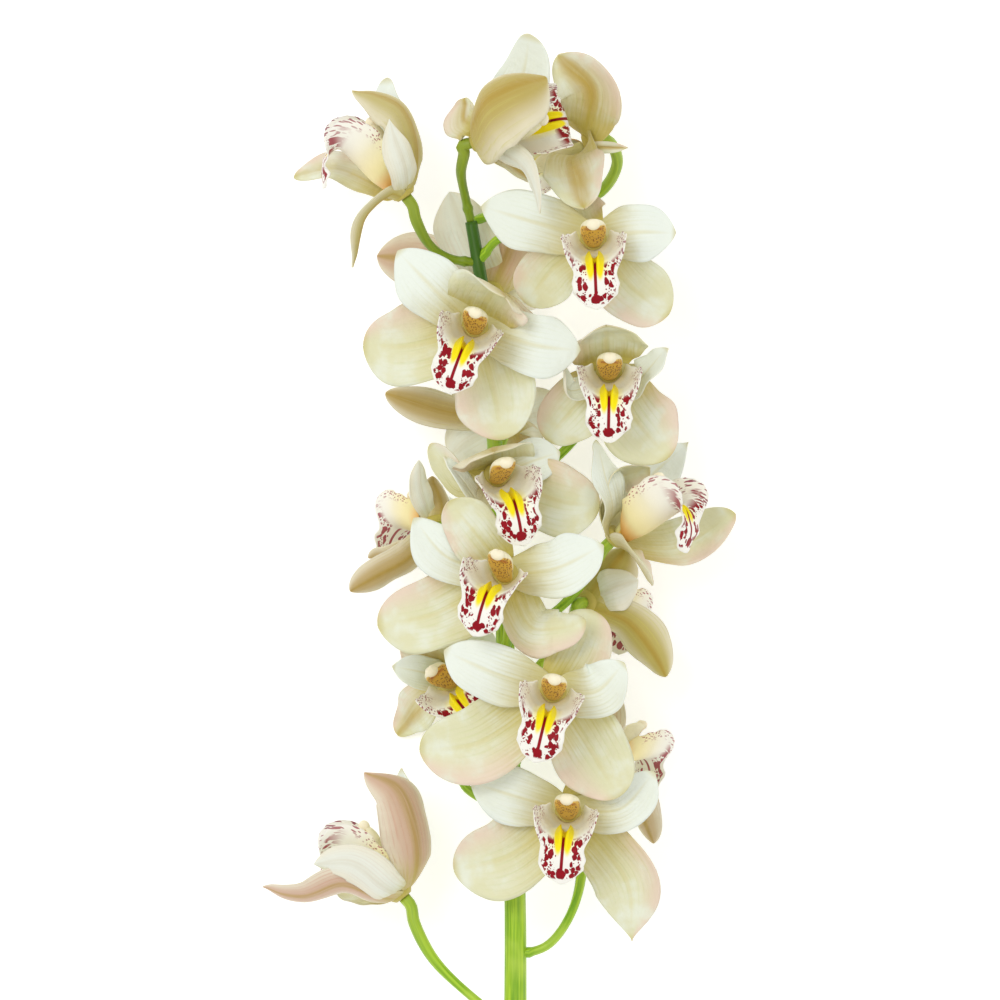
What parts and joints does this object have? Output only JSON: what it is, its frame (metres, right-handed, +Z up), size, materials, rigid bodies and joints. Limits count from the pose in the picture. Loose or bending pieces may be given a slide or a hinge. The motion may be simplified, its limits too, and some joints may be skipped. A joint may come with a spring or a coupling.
{
  "type": "cymbidium orchid stem",
  "caption": "Cut cymbidium flower spike with cream blooms, blotched lips and green pedicels, lying on its back.",
  "frame": {"origin": "middle of the bounding box, on the surface that the spike lies on", "axes": "+Y along the stem towards its tip, +Z up from the surface, +X to the right when looking down"},
  "size_m": [0.2102, 0.541, 0.1273],
  "materials": {
    "stem": "satin",
    "tepals": "satin",
    "lip": "satin",
    "column": "satin"
  },
  "bodies": {
    "root": {"stem": "stem", "bloom_01_tepals": "tepals", "bloom_01_lip": "lip", "bloom_01_column": "column", "bloom_02_tepals": "tepals", "bloom_02_lip": "lip", "bloom_02_column": "column", "bloom_03_tepals": "tepals", "bloom_03_lip": "lip", "bloom_03_column": "column", "bloom_04_tepals": "tepals", "bloom_04_lip": "lip", "bloom_04_column": "column", "bloom_05_tepals": "tepals", "bloom_05_lip": "lip", "bloom_05_column": "column", "bloom_06_tepals": "tepals", "bloom_06_lip": "lip", "bloom_06_column": "column", "bloom_07_tepals": "tepals", "bloom_07_lip": "lip", "bloom_07_column": "column", "bloom_08_tepals": "tepals", "bloom_08_lip": "lip", "bloom_08_column": "column", "bloom_09_tepals": "tepals", "bloom_09_lip": "lip", "bloom_09_column": "column", "bloom_10_tepals": "tepals", "bloom_10_lip": "lip", "bloom_10_column": "column", "bloom_11_tepals": "tepals", "bloom_11_lip": "lip", "bloom_11_column": "column", "bloom_12_tepals": "tepals", "bloom_12_lip": "lip", "bloom_12_column": "column", "bloom_13_tepals": "tepals", "bloom_13_lip": "lip", "bloom_13_column": "column", "bloom_14_tepals": "tepals", "bloom_14_lip": "lip", "bloom_14_column": "column", "bloom_15_tepals": "tepals", "bloom_15_lip": "lip", "bloom_15_column": "column", "bloom_16_tepals": "tepals", "bloom_16_lip": "lip", "bloom_16_column": "column", "bloom_17_tepals": "tepals", "bloom_17_lip": "lip", "bloom_17_column": "column", "bloom_18_tepals": "tepals", "bloom_18_lip": "lip", "bloom_18_column": "column"}
  },
  "joints": []
}
